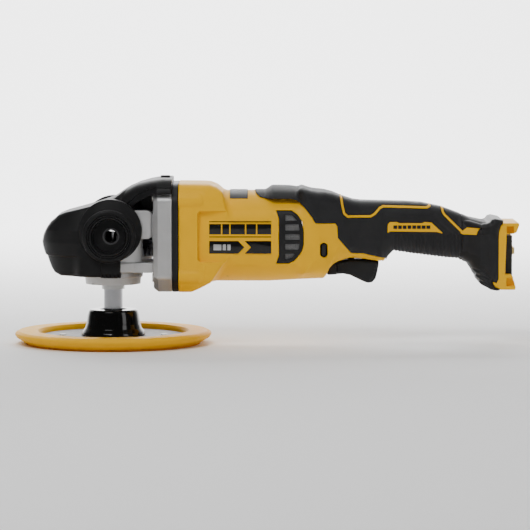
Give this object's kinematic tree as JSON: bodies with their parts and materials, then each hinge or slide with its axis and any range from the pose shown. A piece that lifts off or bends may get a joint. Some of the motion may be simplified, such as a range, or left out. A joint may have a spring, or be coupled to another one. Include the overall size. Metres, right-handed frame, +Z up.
{
  "type": "rotary polisher",
  "caption": "Cordless right-angle rotary polisher with a round hook-faced backing pad, geared head, motor barrel, in-line grip with trigger and a battery rail foot.",
  "frame": {"origin": "where the spindle's axis meets the working face of the backing pad", "axes": "+Z up along the spindle from the pad to the gear case, +X along the motor and handle to the battery foot, +Y to the right-hand side"},
  "size_m": [0.4558, 0.178, 0.1538],
  "materials": {
    "yellow_nylon": "moulded glass-filled nylon, fine texture",
    "grip_rubber": "soft overmould, fine texture",
    "boot_rubber": "satin rubber boot",
    "black_plastic": "moulded nylon",
    "gloss_black": "polished hub",
    "pad_urethane": "moulded urethane",
    "hook_fabric": "hook and loop face",
    "pad_board": "fibre-filled board",
    "cast_aluminium": "die cast, bead blasted",
    "ground_steel": "turned and ground",
    "zinc_steel": "zinc plated",
    "gear_steel": "hardened, oiled",
    "black_steel": "black oxide",
    "copper_wire": "enamelled copper windings",
    "circuit_board": "glass fibre board",
    "screen_mesh": "woven mesh",
    "lead_rubber": "silicone insulated leads",
    "brass_blade": "plated contact blades"
  },
  "bodies": {
    "tool_body": {"gear_case": "cast_aluminium", "gear_case_boot": "boot_rubber", "side_handle_inserts": "black_steel", "gear_case_screws": "zinc_steel", "lock_spring": "ground_steel", "dust_seal": "zinc_steel", "spindle_bearing_cap": "cast_aluminium", "cap_screws": "zinc_steel", "spindle_lower_bearing": "ground_steel", "spindle_upper_bearing": "ground_steel", "pinion_bearing": "ground_steel", "ring_gear": "gear_steel", "gear_plate": "black_plastic", "rotor_front_bearing": "ground_steel", "rotor_rear_bearing": "ground_steel", "air_baffle": "black_plastic", "stator_core": "gear_steel", "stator_windings": "copper_wire", "sensor_board": "circuit_board", "housing_left": "yellow_nylon", "housing_right": "yellow_nylon", "grip_left": "grip_rubber", "grip_right": "grip_rubber", "housing_screws": "black_steel", "side_badges": "black_plastic", "wool_shields": "black_plastic", "intake_screens": "screen_mesh", "dial_bezel": "black_plastic", "dial_board": "circuit_board", "trigger_pin": "ground_steel", "trigger_spring": "ground_steel", "switch_body": "black_plastic", "controller_module": "black_plastic", "wire_leads": "lead_rubber", "battery_receptacle": "yellow_nylon", "terminal_block": "black_plastic", "terminal_blades": "brass_blade"},
    "drive_spindle": {"spindle": "ground_steel", "bevel_gear": "gear_steel", "gear_nut": "zinc_steel", "pad_hub": "gloss_black", "hub_insert": "zinc_steel", "pad_plate": "pad_board", "pad_rivets": "zinc_steel", "pad_rim": "pad_urethane", "hook_face": "hook_fabric"},
    "pinion_assembly": {"bevel_pinion": "gear_steel", "planet_carrier": "gear_steel", "planet_pins": "ground_steel"},
    "planet_1": {"planet_gear_1": "gear_steel"},
    "planet_2": {"planet_gear_2": "gear_steel"},
    "planet_3": {"planet_gear_3": "gear_steel"},
    "rotor": {"rotor_shaft": "ground_steel", "rotor_core": "gear_steel", "cooling_fan": "black_plastic"},
    "spindle_lock": {"spindle_lock_button": "black_plastic"},
    "trigger_lever": {"trigger": "black_plastic"},
    "plunger": {"switch_plunger": "black_plastic"},
    "lock_on": {"lock_on_button": "black_plastic"},
    "dial_wheel": {"speed_dial": "black_plastic"}
  },
  "joints": [
    {"name": "spindle_spin", "type": "hinge", "parent": "tool_body", "child": "drive_spindle", "pos_m": [0, 0, 0.05], "axis": [0, 0, 1], "continuous": true},
    {"name": "pinion_spin", "type": "hinge", "parent": "tool_body", "child": "pinion_assembly", "pos_m": [0.048, 0, 0.098], "axis": [1, 0, 0], "continuous": true},
    {"name": "planet_1_spin", "type": "hinge", "parent": "pinion_assembly", "child": "planet_1", "pos_m": [0.0545, 0.012, 0.098], "axis": [1, 0, 0], "continuous": true},
    {"name": "planet_2_spin", "type": "hinge", "parent": "pinion_assembly", "child": "planet_2", "pos_m": [0.0545, -0.006, 0.10839], "axis": [1, 0, 0], "continuous": true},
    {"name": "planet_3_spin", "type": "hinge", "parent": "pinion_assembly", "child": "planet_3", "pos_m": [0.0545, -0.006, 0.08761], "axis": [1, 0, 0], "continuous": true},
    {"name": "rotor_spin", "type": "hinge", "parent": "tool_body", "child": "rotor", "pos_m": [0.1, 0, 0.098], "axis": [1, 0, 0], "continuous": true},
    {"name": "spindle_lock_press", "type": "slide", "parent": "tool_body", "child": "spindle_lock", "axis": [0, 0, -1], "range_m": [0, 0.0025], "stiffness_N_per_m": 900, "springref_m": -0.004, "deforming": ["lock_spring"]},
    {"name": "trigger_pull", "type": "hinge", "parent": "tool_body", "child": "trigger_lever", "pos_m": [0.197, 0, 0.069], "axis": [0, -1, 0], "range_deg": [0, 8], "stiffness_Nm_per_rad": 0.9, "springref_deg": -14.32, "deforming": ["trigger_spring"]},
    {"name": "plunger_slide", "type": "slide", "parent": "tool_body", "child": "plunger", "axis": [0, 0, 1], "range_m": [0, 0.0046]},
    {"name": "lock_on_press", "type": "slide", "parent": "tool_body", "child": "lock_on", "axis": [0, 1, 0], "range_m": [0, 0.003], "stiffness_N_per_m": 500, "springref_m": -0.003},
    {"name": "speed_dial_turn", "type": "hinge", "parent": "tool_body", "child": "dial_wheel", "pos_m": [0.114, 0, 0.1335], "axis": [0, 1, 0], "range_deg": [0, 240]}
  ],
  "couplings": [
    {"joint": "pinion_spin", "follows": "spindle_spin", "ratio": 3},
    {"joint": "planet_1_spin", "follows": "spindle_spin", "ratio": -9},
    {"joint": "planet_2_spin", "follows": "spindle_spin", "ratio": -9},
    {"joint": "planet_3_spin", "follows": "spindle_spin", "ratio": -9},
    {"joint": "rotor_spin", "follows": "spindle_spin", "ratio": 12},
    {"joint": "plunger_slide", "follows": "trigger_pull", "m_per_rad": 0.0325}
  ]
}
